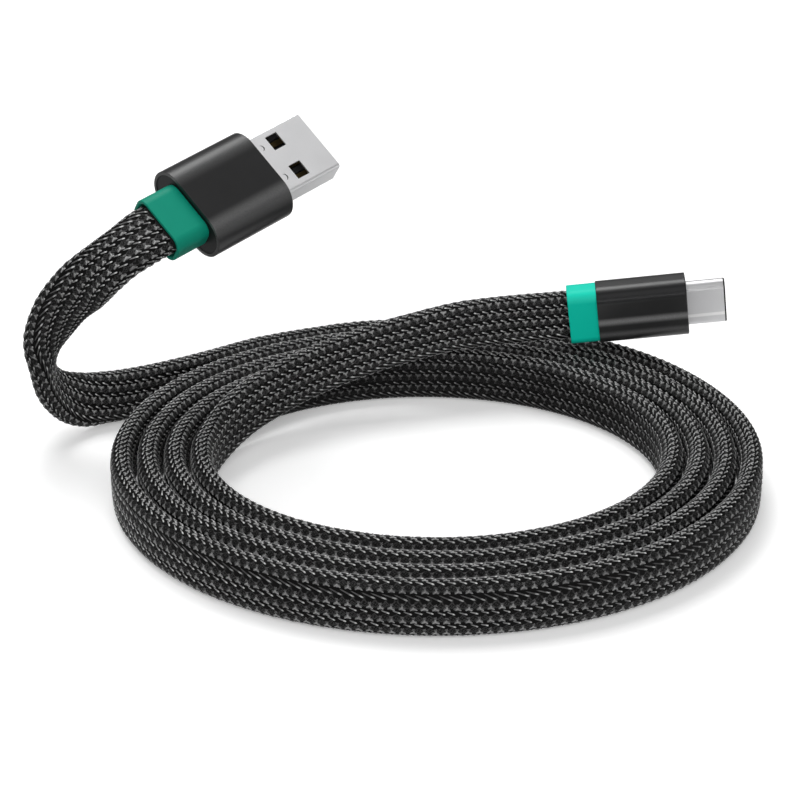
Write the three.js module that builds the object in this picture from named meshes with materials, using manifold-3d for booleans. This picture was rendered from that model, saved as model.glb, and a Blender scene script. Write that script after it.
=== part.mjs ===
// A flat braided charging cable, wound on edge into an oval coil on a table, with a USB-A plug on one end
// and a USB-C plug on the other. Millimetres, +Z up, origin on the table under the middle of the cable.
import * as THREE from "three";
import { mergeVertices } from "three/addons/utils/BufferGeometryUtils.js";
import Module from "manifold-3d";

const wasm = await Module();
wasm.setup();

// ---- Driving dimensions ------------------------------------------------------------------------------
const GAP = 0.3; // clearance between pieces that touch

// The flat braided ribbon and its coil.
const RIBBON_WIDTH = 9.2;
const RIBBON_THICKNESS = 3.6;
const RIBBON_EDGE_CUT = 1.0; // the rounded long edges, as one chamfer
const COIL_CENTRE = new THREE.Vector2(6.55, -1);
const COIL_HALF_LENGTH = 36.95; // centreline of the innermost turn, along X
const COIL_HALF_DEPTH = 31.8; // and along Y
const TURN_PITCH_ALONG = 4.25;
const TURN_PITCH_ACROSS = 4.1;
const COIL_TURNS = 3.75;
const STEPS_PER_TURN = 24;
const COIL_LEAD = 3.6; // straight end of the coil's ribbon
const INNER_WAY = [0.12, 0.99, 0]; // the way the ribbon leaves the coil's inner end
const OUTER_WAY = [-1, -0.03, 0]; // and its outer end
const RUN_A_STEPS = 44;
const RUN_C_STEPS = 30;
const RUN_LEAD = 1.4; // straight end of a free run
const END_SPACE = 0.35; // between the ends of two lengths of ribbon, and a ribbon and its collar

// Free run from the coil to the USB-A plug: places on the centreline, and the way its upper edge faces.
const RUN_A_ROUTE = [
  { at: [-5.45, 45.1, 4.6], up: [0, 0, 1] },
  { at: [-13.95, 42.4, 4.6], up: [0, 0, 1] },
  { at: [-23.45, 38.2, 4.6], up: [0, 0, 1] },
  { at: [-31.45, 32.8, 4.62], up: [0, 0, 1] },
  { at: [-38.45, 28.4, 4.66], up: [0, 0, 1] },
  { at: [-44.45, 25.2, 4.75], up: [0, 0.02, 1] },
  { at: [-48.95, 22.8, 5.1], up: [0.02, 0.14, 0.99] },
  { at: [-52.35, 21, 5.6], up: [0.02, 0.49, 0.87] },
  { at: [-55.55, 18.9, 7.5], up: [-0.11, 0.8, 0.59] },
  { at: [-57.45, 16.4, 11.45], up: [-0.1, 0.92, 0.38] },
  { at: [-57.35, 14.9, 15.85], up: [0.16, 0.96, 0.24] },
  { at: [-56.35, 13.7, 20.8], up: [0.71, 0.7, -0.03] },
  { at: [-53.45, 11.5, 26.8], up: [0.84, 0.36, -0.41] },
  { at: [-50.65, 9.8, 30.4], up: [0.78, 0.05, -0.63] },
  { at: [-47.25, 7.7, 34.2], up: [0.48, -0.49, -0.72] },
  { at: [-42.55, 6.3, 38.65], up: [0.51, -0.7, -0.5] },
];

// Free run from the coil up over its back turns to the USB-C plug.
const RUN_C_ROUTE = [
  { at: [-28.85, 6.7, 5.0], up: [-0.03, 0, 1] },
  { at: [-26.45, 11.4, 6.1], up: [-0.08, 0, 0.99] },
  { at: [-23.45, 15.5, 7.1], up: [-0.12, 0, 0.98] },
  { at: [-20.05, 18.9, 7.9], up: [-0.12, 0, 0.99] },
  { at: [-16.05, 22, 8.9], up: [-0.1, -0.05, 0.99] },
  { at: [-10.75, 25.5, 9.9], up: [-0.1, -0.1, 0.98] },
  { at: [-3.85, 28.2, 11.5], up: [-0.08, -0.14, 0.98] },
  { at: [2.55, 29.8, 12.9], up: [-0.03, -0.16, 0.98] },
  { at: [11.75, 32.2, 14.3], up: [-0.02, -0.15, 0.98] },
  { at: [20.65, 33.7, 14.8], up: [-0.08, -0.13, 0.98] },
];

// Where each collar's rear face stands, the way its plug points, and the way its broad face looks.
const PLUG_A_PLACE = { rear: [-37.3, 9.74, 41.08], axis: [0.709, 0.687, 0.16], face: [0.331, -0.525, 0.784] };
const PLUG_C_PLACE = { rear: [30.85, 34.58, 15.36], axis: [0.992, -0.03, 0.12], face: [0, -0.99, -0.13] };

// USB-A plug: outside sizes as width x thickness x length.
const A_COLLAR = { width: 10.9, thickness: 5.5, length: 6.1, wall: 0.6 };
const A_HOUSING = { width: 16.6, thickness: 8.1, length: 16.2, wall: 0.6, frontWall: 1.0 };
const A_SHELL = { width: 12.0, thickness: 4.5, wall: 0.3, out: 12.1, inside: 0.4 * A_HOUSING.length };
const A_LATCH_WINDOW = { width: 2.6, length: 2.3, fromCentre: 3.15, fromTip: 5.9 };
const A_TONGUE = { thickness: 1.84, short: 0.9, base: 5.2 };
const A_CONTACT = { width: 1.0, thickness: 0.3, short: 1.2, tail: 0.12 * A_HOUSING.length };
const A_CONTACT_PLACES = [-3.5, -1.0, 1.0, 3.5];

// USB-C plug.
const C_COLLAR = { width: 10.4, thickness: 5.2, length: 4.7, wall: 0.5 };
const C_HOUSING = { width: 10.8, thickness: 6.2, length: 15.4, wall: 0.6, frontWall: 0.9 };
const C_FRONT_RECESS = { depth: 0.4, rim: 0.5 };
const C_SHELL = { width: 8.34, thickness: 2.56, wall: 0.25, out: 6.65, inside: 0.3 * C_HOUSING.length };
const C_CAVITY = { width: 6.8, thickness: 1.02, depth: 6.2 };
const C_CONTACT = { width: 0.28, thickness: 0.12, pitch: 0.5, length: 4.4, foot: 1.5, offset: 0.36 };
const C_CONTACT_SLOTS = [-5, -2, -1, 0, 1, 5]; // places of the six wired contacts of each row, in pitches
const C_LATCH = { thickness: 0.2, arm: 0.5, hook: 0.4, length: 6.8, plate: 1.2, inset: 0.1 };
const C_BOARD = { width: 7.6, thickness: 0.6, length: 0.3 * C_HOUSING.length };
const C_RESISTOR = { width: 0.5, thickness: 0.35, length: 1.0 };

// Inside both plugs.
const CAP_SHARE = 0.07; // the rear cap's length, as a share of its housing's
const CLAMP_SHARE = 0.15; // and the cable clamp's
const CLAMP_WALL = 0.5;
const CORE = { width: 7.0, thickness: 2.0 }; // the cable's own core where its braid is cut back
const WIRE_DIAMETER = 0.8;
const WIRE_SIDES = 8;
const A_WIRE_SPACING = 2.2;
const C_WIRE_SPACING = 1.3;
const ROUND_STEPS = 6; // steps along each round end of an oblong outline

const BLACK_BRAID = { color: 0x1b1b1d, roughness: 0.85, metalness: 0 };
const BLACK_ALUMINIUM = { color: 0x232325, roughness: 0.4, metalness: 0.6 };
const GREEN = { color: 0x12a182, roughness: 0.5, metalness: 0 };
const STEEL = { color: 0xc4c4c6, roughness: 0.25, metalness: 1 };
const GOLD = { color: 0xd8b25a, roughness: 0.25, metalness: 1 };
const WHITE_PLASTIC = { color: 0xe9e9e6, roughness: 0.5, metalness: 0 };
const BLACK_PLASTIC = { color: 0x161617, roughness: 0.5, metalness: 0 };
const CLEAR_MOULD = { color: 0xcfcdc4, roughness: 0.6, metalness: 0 };
const BOARD_GREEN = { color: 0x1d5c3a, roughness: 0.5, metalness: 0 };
const WIRE_COLOURS = { red: 0xb32020, white: 0xe4e4e4, green: 0x1f7a3c, black: 0x171717 };
const WIRE_SLOTS = Object.keys(WIRE_COLOURS).length;

const cable = new THREE.Group();

// ---- Small tools -------------------------------------------------------------------------------------
const vector = (list) => new THREE.Vector3(...list);

function addPiece(parent, name, geometry, finish) {
  const piece = new THREE.Mesh(geometry, new THREE.MeshStandardMaterial(finish));
  piece.name = name;
  parent.add(piece);
  return piece;
}

// A closed geometry as a manifold-3d solid.
function solidOf(geometry) {
  const bare = geometry.clone();
  bare.deleteAttribute("normal");
  bare.deleteAttribute("uv");
  const merged = mergeVertices(bare, 1e-4);
  const mesh = new wasm.Mesh({
    numProp: 3,
    vertProperties: merged.attributes.position.array,
    triVerts: new Uint32Array(merged.index.array),
  });
  return new wasm.Manifold(mesh);
}

function geometryOf(solid) {
  const mesh = solid.getMesh();
  const geometry = new THREE.BufferGeometry();
  geometry.setAttribute("position", new THREE.BufferAttribute(mesh.vertProperties, 3));
  geometry.setIndex(new THREE.BufferAttribute(mesh.triVerts, 1));
  geometry.computeVertexNormals();
  return geometry;
}

const cut = (whole, ...tools) =>
  geometryOf(tools.reduce((solid, tool) => solid.subtract(solidOf(tool)), solidOf(whole)));

const join = (...pieces) =>
  geometryOf(pieces.slice(1).reduce((solid, piece) => solid.add(solidOf(piece)), solidOf(pieces[0])));

// An outline with fully round ends, width along X and thickness along Y.
function oblong(width, thickness) {
  const radius = thickness / 2;
  const straight = width / 2 - radius;
  const outline = new THREE.Shape();
  outline.moveTo(-straight, -radius);
  outline.lineTo(straight, -radius);
  outline.absarc(straight, 0, radius, -Math.PI / 2, Math.PI / 2, false);
  outline.lineTo(-straight, radius);
  outline.absarc(-straight, 0, radius, Math.PI / 2, (3 * Math.PI) / 2, false);
  return outline;
}

// A bar of an oblong outline along Z.
function oblongBar(width, thickness, start, end) {
  const bar = new THREE.ExtrudeGeometry(oblong(width, thickness), {
    depth: end - start,
    bevelEnabled: false,
    curveSegments: ROUND_STEPS,
  });
  return bar.translate(0, 0, start);
}

// A sleeve of an oblong outline along Z, open at both ends.
function oblongSleeve(width, thickness, wall, start, end) {
  const bore = oblongBar(width - 2 * wall, thickness - 2 * wall, start - 1, end + 1);
  return cut(oblongBar(width, thickness, start, end), bore);
}

// A block given by its width along X, thickness along Y, its ends along Z and its centre in X and Y.
function block(width, thickness, start, end, x = 0, y = 0) {
  return new THREE.BoxGeometry(width, thickness, end - start).translate(x, y, (start + end) / 2);
}

// ---- The ribbon --------------------------------------------------------------------------------------
// A path given by stations, each with its place and the way the ribbon's upper edge faces there.
class RibbonPath extends THREE.Curve {
  constructor(places, ups) {
    super();
    this.places = places;
    this.tangents = places.map((_, i) => {
      const before = places[Math.max(i - 1, 0)];
      const after = places[Math.min(i + 1, places.length - 1)];
      return after.clone().sub(before).normalize();
    });
    this.ups = ups.map((up, i) => up.clone().projectOnPlane(this.tangents[i]).normalize());
  }
  getPoint(t) {
    return this.places[Math.round(t * (this.places.length - 1))].clone();
  }
  getSpacedPoints(steps) {
    return Array.from({ length: steps + 1 }, (_, i) => this.getPoint(i / steps));
  }
  computeFrenetFrames() {
    const normals = this.ups.map((up, i) => new THREE.Vector3().crossVectors(up, this.tangents[i]));
    return { tangents: this.tangents, normals, binormals: this.ups };
  }
}

// The ribbon's section, thickness along X and width along Y, with its four long edges cut back.
function ribbonSection() {
  const x = RIBBON_THICKNESS / 2;
  const y = RIBBON_WIDTH / 2;
  const c = RIBBON_EDGE_CUT;
  const corners = [
    [x - c, -y],
    [x, -y + c],
    [x, y - c],
    [x - c, y],
    [c - x, y],
    [-x, y - c],
    [-x, c - y],
    [c - x, -y],
  ];
  return new THREE.Shape(corners.map(([u, v]) => new THREE.Vector2(u, v)));
}

function ribbonAlong(path) {
  return new THREE.ExtrudeGeometry(ribbonSection(), {
    steps: path.places.length - 1,
    extrudePath: path,
    bevelEnabled: false,
  });
}

// The coil's centreline: an oval spiral that widens by one pitch a turn, counter-clockwise seen from above.
function coilPlace(turns) {
  const angle = Math.PI + 2 * Math.PI * turns;
  const along = COIL_HALF_LENGTH + TURN_PITCH_ALONG * turns;
  const across = COIL_HALF_DEPTH + TURN_PITCH_ACROSS * turns;
  const x = COIL_CENTRE.x + along * Math.cos(angle);
  const y = COIL_CENTRE.y + across * Math.sin(angle);
  return new THREE.Vector3(x, y, RIBBON_WIDTH / 2);
}

// All stations of the coil, with a straight lead at each end.
function coilPlaces() {
  const steps = COIL_TURNS * STEPS_PER_TURN;
  const places = Array.from({ length: steps + 1 }, (_, i) => coilPlace(i / STEPS_PER_TURN));
  const lead = (way, place) => vector(way).setLength(COIL_LEAD).add(place);
  return [lead(INNER_WAY, places[0]), ...places, lead(OUTER_WAY, places[steps])];
}

// The least distance between the coil's neighbouring turns, face to face, measured on their corners.
function leastCoilGap(places) {
  const path = new RibbonPath(places, places.map(() => new THREE.Vector3(0, 0, 1)));
  const sideways = path.computeFrenetFrames().normals;
  const faces = places.flatMap((place, i) =>
    [-1, 1].map((side) => ({
      index: i,
      point: sideways[i].clone().multiplyScalar((side * RIBBON_THICKNESS) / 2).add(place),
    })),
  );
  let least = Infinity;
  for (const a of faces) {
    for (const b of faces) {
      if (b.index - a.index > STEPS_PER_TURN / 2) least = Math.min(least, a.point.distanceTo(b.point));
    }
  }
  return least;
}

// A free run: straight at both ends, and smooth through the hand-placed points between them. Each end has
// its place, the way the run goes there, and the way its upper edge faces.
function freeRun(start, route, end, steps) {
  const along = (place, distance) => vector(place.way).setLength(distance).add(vector(place.at));
  const aside = (place, distance) => ({ at: along(place, distance).toArray(), up: place.up });
  const middle = [aside(start, RUN_LEAD), ...route, aside(end, -RUN_LEAD)];
  const line = new THREE.CatmullRomCurve3(middle.map((r) => vector(r.at)), false, "centripetal");
  const turn = new THREE.CatmullRomCurve3(middle.map((r) => vector(r.up)), false, "centripetal");
  const shares = Array.from({ length: steps + 1 }, (_, i) => line.getUtoTmapping(i / steps));
  const places = [vector(start.at), ...shares.map((t) => line.getPoint(t)), vector(end.at)];
  const ups = [vector(start.up), ...shares.map((t) => turn.getPoint(t)), vector(end.up)];
  return new RibbonPath(places, ups);
}

function addCable() {
  const places = coilPlaces();
  const upright = places.map(() => new THREE.Vector3(0, 0, 1));
  addPiece(cable, "cable_coil", ribbonAlong(new RibbonPath(places, upright)), BLACK_BRAID);
  console.log("least gap between the coil's turns: " + leastCoilGap(places).toFixed(2) + " mm");

  const addRun = (name, coilEnd, coilWay, route, plug, up, steps) => {
    const start = {
      at: vector(coilWay).setLength(END_SPACE).add(coilEnd).toArray(),
      way: coilWay,
      up: [0, 0, 1],
    };
    const end = {
      at: vector(plug.axis).setLength(-END_SPACE).add(vector(plug.rear)).toArray(),
      way: plug.axis,
      up,
    };
    addPiece(cable, name, ribbonAlong(freeRun(start, route, end, steps)), BLACK_BRAID);
  };
  const upAtA = widthAxis(PLUG_A_PLACE).negate().toArray();
  const upAtC = widthAxis(PLUG_C_PLACE).toArray();
  addRun("cable_run_a", places.at(-1), OUTER_WAY, RUN_A_ROUTE, PLUG_A_PLACE, upAtA, RUN_A_STEPS);
  addRun("cable_run_c", places[0], INNER_WAY, RUN_C_ROUTE, PLUG_C_PLACE, upAtC, RUN_C_STEPS);
}

// ---- Plugs -------------------------------------------------------------------------------------------
// A plug's width axis: its face direction crossed with the way it points.
function widthAxis(place) {
  return new THREE.Vector3().crossVectors(vector(place.face), vector(place.axis)).normalize();
}

// A group whose Z is the way the plug points, Y its broad face and Z = 0 the collar's rear face.
function plugGroup(place) {
  const group = new THREE.Group();
  const across = widthAxis(place);
  const axis = vector(place.axis).normalize();
  const face = new THREE.Vector3().crossVectors(axis, across);
  group.quaternion.setFromRotationMatrix(new THREE.Matrix4().makeBasis(across, face, axis));
  group.position.copy(vector(place.rear));
  cable.add(group);
  return group;
}

// Collar, housing and rear cap. The housing's front wall lies behind its rim by the recess, if it has one.
// Returns the places along the axis that the inner pieces take.
function addCasing(group, side, collar, housing, shellTube, recess = null) {
  const rear = collar.length + GAP;
  const front = rear + housing.length;
  const sleeve = oblongSleeve(collar.width, collar.thickness, collar.wall, 0, collar.length);
  addPiece(group, side + "_collar", sleeve, GREEN);

  const inset = (wall, start, end) =>
    oblongBar(housing.width - 2 * wall, housing.thickness - 2 * wall, start, end);
  const wallEnd = front - (recess ? recess.depth : 0);
  const wallStart = wallEnd - housing.frontWall;
  const hollows = [inset(housing.wall, rear - 1, wallStart), shellTube(GAP, wallStart - 1, front + 1)];
  if (recess) hollows.push(inset(recess.rim, wallEnd, front + 1));
  addPiece(group, side + "_housing", cut(inset(0, rear, front), ...hollows), BLACK_ALUMINIUM);

  const capEnd = rear + CAP_SHARE * housing.length;
  const passage = oblongBar(CORE.width + 2 * GAP, CORE.thickness + 2 * GAP, rear - 1, capEnd + 1);
  const rearCap = cut(inset(housing.wall + GAP, rear, capEnd), passage);
  addPiece(group, side + "_rear_cap", rearCap, BLACK_PLASTIC);
  return { front, inset, filling: housing.wall + GAP, start: capEnd + GAP };
}

// The cable's core inside the collar, from the collar's rear to just past the clamp.
function addCoreAndClamp(group, side, collar, housing, inside) {
  const clampStart = inside.start;
  const clampEnd = clampStart + CLAMP_SHARE * housing.length;
  const bushWidth = collar.width - 2 * (collar.wall + GAP);
  const bushThickness = collar.thickness - 2 * (collar.wall + GAP);
  const bush = join(
    oblongBar(bushWidth, bushThickness, 0, collar.length),
    oblongBar(CORE.width, CORE.thickness, collar.length / 2, clampEnd),
  );
  addPiece(group, side + "_strain_core", bush, BLACK_PLASTIC);
  const band = oblongSleeve(
    CORE.width + 2 * (GAP + CLAMP_WALL),
    CORE.thickness + 2 * (GAP + CLAMP_WALL),
    CLAMP_WALL,
    clampStart,
    clampEnd,
  );
  addPiece(group, side + "_cable_clamp", band, STEEL);
  return clampEnd;
}

// Two halves of the inner mould, closed round a slot that the wires lie in.
function addMould(group, side, inside, start, end, slotWidth) {
  const whole = inside.inset(inside.filling, start, end);
  const slot = block(slotWidth, WIRE_DIAMETER + 2 * GAP, start - 1, end + 1);
  const reach = A_HOUSING.width;
  const below = block(reach, reach, start - 1, end + 1, 0, (GAP - reach) / 2);
  const above = block(reach, reach, start - 1, end + 1, 0, (reach - GAP) / 2);
  addPiece(group, side + "_mould_upper", cut(whole, slot, below), CLEAR_MOULD);
  addPiece(group, side + "_mould_lower", cut(whole, slot, above), CLEAR_MOULD);
}

function addWires(group, side, start, end, spacing) {
  Object.entries(WIRE_COLOURS).forEach(([name, color], i, all) => {
    const x = (i - (all.length - 1) / 2) * spacing;
    const radius = WIRE_DIAMETER / 2;
    const wire = new THREE.CylinderGeometry(radius, radius, end - start, WIRE_SIDES);
    wire.rotateX(Math.PI / 2).translate(x, 0, (start + end) / 2);
    addPiece(group, side + "_wire_" + name, wire, { color, roughness: 0.5, metalness: 0 });
  });
}

// The space of the USB-A shell, grown on all sides.
function shellTubeA(grow, start, end) {
  return block(A_SHELL.width + 2 * grow, A_SHELL.thickness + 2 * grow, start, end);
}

// USB-A shell: a box tube with two latch windows in each broad face.
function addShellA(group, start, tip) {
  const bore = shellTubeA(-A_SHELL.wall, start - 1, tip + 1);
  const windowStart = tip - A_LATCH_WINDOW.fromTip - A_LATCH_WINDOW.length;
  const windows = [-1, 1].map((side) =>
    block(
      A_LATCH_WINDOW.width,
      A_SHELL.thickness + 2,
      windowStart,
      windowStart + A_LATCH_WINDOW.length,
      side * A_LATCH_WINDOW.fromCentre,
    ),
  );
  addPiece(group, "usb_a_shell", cut(shellTubeA(0, start, tip), bore, ...windows), STEEL);
}

// The white tongue lies along one broad wall of the shell, with its four contacts on its open side.
function addTongueA(group, start, tip) {
  const innerWidth = A_SHELL.width - 2 * (A_SHELL.wall + GAP);
  const innerThickness = A_SHELL.thickness - 2 * (A_SHELL.wall + GAP);
  const tongueY = (A_TONGUE.thickness - innerThickness) / 2;
  const contactY = A_TONGUE.thickness - innerThickness / 2;
  const tongueEnd = tip - A_TONGUE.short;
  const baseEnd = start + A_TONGUE.base;
  const contactEnd = tongueEnd - A_CONTACT.short;
  const groove = A_CONTACT.thickness + 2 * GAP;
  const grooves = A_CONTACT_PLACES.map((x) =>
    block(A_CONTACT.width + 2 * GAP, groove, start - 1, contactEnd + GAP, x, contactY),
  );
  const insulator = join(
    block(innerWidth, innerThickness, start, baseEnd),
    block(innerWidth, A_TONGUE.thickness, start, tongueEnd, 0, tongueY),
  );
  addPiece(group, "usb_a_insulator", cut(insulator, ...grooves), WHITE_PLASTIC);
  A_CONTACT_PLACES.forEach((x, i) => {
    const tail = start - A_CONTACT.tail;
    const strip = block(A_CONTACT.width, A_CONTACT.thickness, tail, contactEnd, x, contactY);
    addPiece(group, "usb_a_contact_" + (i + 1), strip, GOLD);
  });
}

function addPlugA() {
  const group = plugGroup(PLUG_A_PLACE);
  const inside = addCasing(group, "usb_a", A_COLLAR, A_HOUSING, shellTubeA);
  const shellStart = inside.front - A_SHELL.inside;
  const tip = inside.front + A_SHELL.out;
  const wireStart = addCoreAndClamp(group, "usb_a", A_COLLAR, A_HOUSING, inside) + GAP;
  const wireEnd = shellStart - A_CONTACT.tail - GAP;
  addMould(group, "usb_a", inside, wireStart, wireEnd, WIRE_SLOTS * A_WIRE_SPACING);
  addWires(group, "usb_a", wireStart, wireEnd, A_WIRE_SPACING);
  addShellA(group, shellStart, tip);
  addTongueA(group, shellStart + GAP, tip);
}

// The space of the USB-C shell, grown on all sides.
function shellTubeC(grow, start, end) {
  return oblongBar(C_SHELL.width + 2 * grow, C_SHELL.thickness + 2 * grow, start, end);
}

// The black insulator inside the USB-C shell, a sleeve round the hollow that the contacts stand in.
function addInsulatorC(group, start, tip) {
  const whole = shellTubeC(-C_SHELL.wall - GAP, start, tip - GAP);
  const hollow = oblongBar(C_CAVITY.width, C_CAVITY.thickness, start - 1, tip + 1);
  addPiece(group, "usb_c_insulator", cut(whole, hollow), BLACK_PLASTIC);
  return tip - C_CAVITY.depth;
}

function addContactsC(group, hollowStart) {
  const start = hollowStart - C_CONTACT.foot;
  const end = hollowStart + C_CONTACT.length;
  for (const [row, y] of [["a", C_CONTACT.offset], ["b", -C_CONTACT.offset]]) {
    C_CONTACT_SLOTS.forEach((slot, i) => {
      const strip = block(C_CONTACT.width, C_CONTACT.thickness, start, end, slot * C_CONTACT.pitch, y);
      addPiece(group, "usb_c_contact_" + row + (i + 1), strip, GOLD);
    });
  }
}

// The latch plate lies between the rows behind the hollow, and its two hooked arms run along its sides.
function addLatchC(group, hollowStart) {
  const side = C_CAVITY.width / 2 - C_LATCH.arm / 2 - C_LATCH.inset;
  const plateEnd = hollowStart - C_LATCH.inset;
  const plateStart = plateEnd - C_LATCH.plate;
  const armEnd = plateStart + C_LATCH.length;
  const plate = block(2 * side, C_LATCH.thickness, plateStart, plateEnd);
  const arms = [-1, 1].map((s) => block(C_LATCH.arm, C_LATCH.thickness, plateStart, armEnd, s * side));
  const hookPlace = side - C_LATCH.arm / 2;
  const hooks = [-1, 1].map((s) =>
    block(C_LATCH.hook, C_LATCH.thickness, armEnd - C_LATCH.hook, armEnd, s * hookPlace),
  );
  addPiece(group, "usb_c_latch_plate", join(plate, ...arms, ...hooks), STEEL);
}

// The circuit board behind the shell, with the one resistor that tells the charger what the plug is.
function addBoardC(group, start, end) {
  const board = block(C_BOARD.width, C_BOARD.thickness, start, end);
  addPiece(group, "usb_c_circuit_board", board, BOARD_GREEN);
  const y = (C_BOARD.thickness + C_RESISTOR.thickness) / 2 + GAP;
  const middle = (start + end) / 2;
  const resistorStart = middle - C_RESISTOR.length / 2;
  const resistorEnd = middle + C_RESISTOR.length / 2;
  const resistor = block(C_RESISTOR.width, C_RESISTOR.thickness, resistorStart, resistorEnd, 0, y);
  addPiece(group, "usb_c_resistor", resistor, BLACK_PLASTIC);
}

function addPlugC() {
  const group = plugGroup(PLUG_C_PLACE);
  const inside = addCasing(group, "usb_c", C_COLLAR, C_HOUSING, shellTubeC, C_FRONT_RECESS);
  const shellStart = inside.front - C_SHELL.inside;
  const tip = inside.front + C_SHELL.out;
  const shell = cut(shellTubeC(0, shellStart, tip), shellTubeC(-C_SHELL.wall, shellStart - 1, tip + 1));
  addPiece(group, "usb_c_shell", shell, STEEL);
  const hollowStart = addInsulatorC(group, shellStart, tip);
  addContactsC(group, hollowStart);
  addLatchC(group, hollowStart);
  const boardEnd = shellStart - GAP;
  const boardStart = boardEnd - C_BOARD.length;
  addBoardC(group, boardStart, boardEnd);
  const wireStart = addCoreAndClamp(group, "usb_c", C_COLLAR, C_HOUSING, inside) + GAP;
  const wireEnd = boardStart - GAP;
  addMould(group, "usb_c", inside, wireStart, wireEnd, WIRE_SLOTS * C_WIRE_SPACING);
  addWires(group, "usb_c", wireStart, wireEnd, C_WIRE_SPACING);
}

addCable();
addPlugA();
addPlugC();

export default cable;
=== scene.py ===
"""A flat braided charging cable, coiled on edge on a pale table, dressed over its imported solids."""

import logging
import math
from dataclasses import dataclass
from enum import Enum
from typing import Sequence

import bmesh
import bpy
import numpy as np
from mathutils import Matrix, Vector


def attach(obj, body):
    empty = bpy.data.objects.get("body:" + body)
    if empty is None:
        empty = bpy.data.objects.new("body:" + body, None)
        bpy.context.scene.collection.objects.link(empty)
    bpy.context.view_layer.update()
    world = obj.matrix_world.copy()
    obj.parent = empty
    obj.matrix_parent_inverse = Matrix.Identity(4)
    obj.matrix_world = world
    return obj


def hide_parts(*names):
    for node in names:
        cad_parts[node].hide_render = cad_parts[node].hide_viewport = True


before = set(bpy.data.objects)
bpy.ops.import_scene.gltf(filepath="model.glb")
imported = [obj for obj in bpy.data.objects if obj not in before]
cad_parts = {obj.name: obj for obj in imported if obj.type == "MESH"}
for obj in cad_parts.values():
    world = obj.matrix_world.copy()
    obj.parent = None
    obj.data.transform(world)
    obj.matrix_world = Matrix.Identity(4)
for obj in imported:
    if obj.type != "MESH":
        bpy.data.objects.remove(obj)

log = logging.getLogger("charging_cable")
MM = 0.001
Pair = tuple[float, float]
Triple = tuple[float, float, float]
Colour = tuple[float, float, float, float]
Object = bpy.types.Object


# ---- Shader building


class Value:
    """A number in a shader: a socket or a plain number, whose arithmetic adds Math nodes."""

    def __init__(self, web: "Web", source: "bpy.types.NodeSocket | float") -> None:
        """Keeps the shader it belongs to and its socket or number."""
        self.web = web
        self.source = source

    def math(self, operation: str, *others: "Value | float") -> "Value":
        """Adds one Math node that works on this value and the ones after it."""
        return self.web.node("ShaderNodeMath", {"operation": operation}, dict(enumerate((self, *others))))

    def __add__(self, other: "Value | float") -> "Value":
        """Sum."""
        return self.math("ADD", other)

    __radd__ = __add__

    def __sub__(self, other: "Value | float") -> "Value":
        """Difference."""
        return self.math("SUBTRACT", other)

    def __rsub__(self, other: float) -> "Value":
        """Difference from a plain number."""
        return Value(self.web, other).math("SUBTRACT", self)

    def __mul__(self, other: "Value | float") -> "Value":
        """Product."""
        return self.math("MULTIPLY", other)

    __rmul__ = __mul__

    def __abs__(self) -> "Value":
        """Size without sign."""
        return self.math("ABSOLUTE")

    def wrapped(self, centre: float) -> "Value":
        """Distance from the nearest repeat of a place in the unit cell, from -0.5 to 0.5."""
        return (self + (0.5 - centre)).math("FRACT") - 0.5

    def ramp(self, low: float, high: float) -> "Value":
        """Rises smoothly from 0 at low to 1 at high, or falls where low is above high."""
        rises = float(low < high)
        inputs = {0: self, 1: min(low, high), 2: max(low, high), 3: 1.0 - rises, 4: rises}
        return self.web.node("ShaderNodeMapRange", {"interpolation_type": "SMOOTHSTEP"}, inputs)


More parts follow.
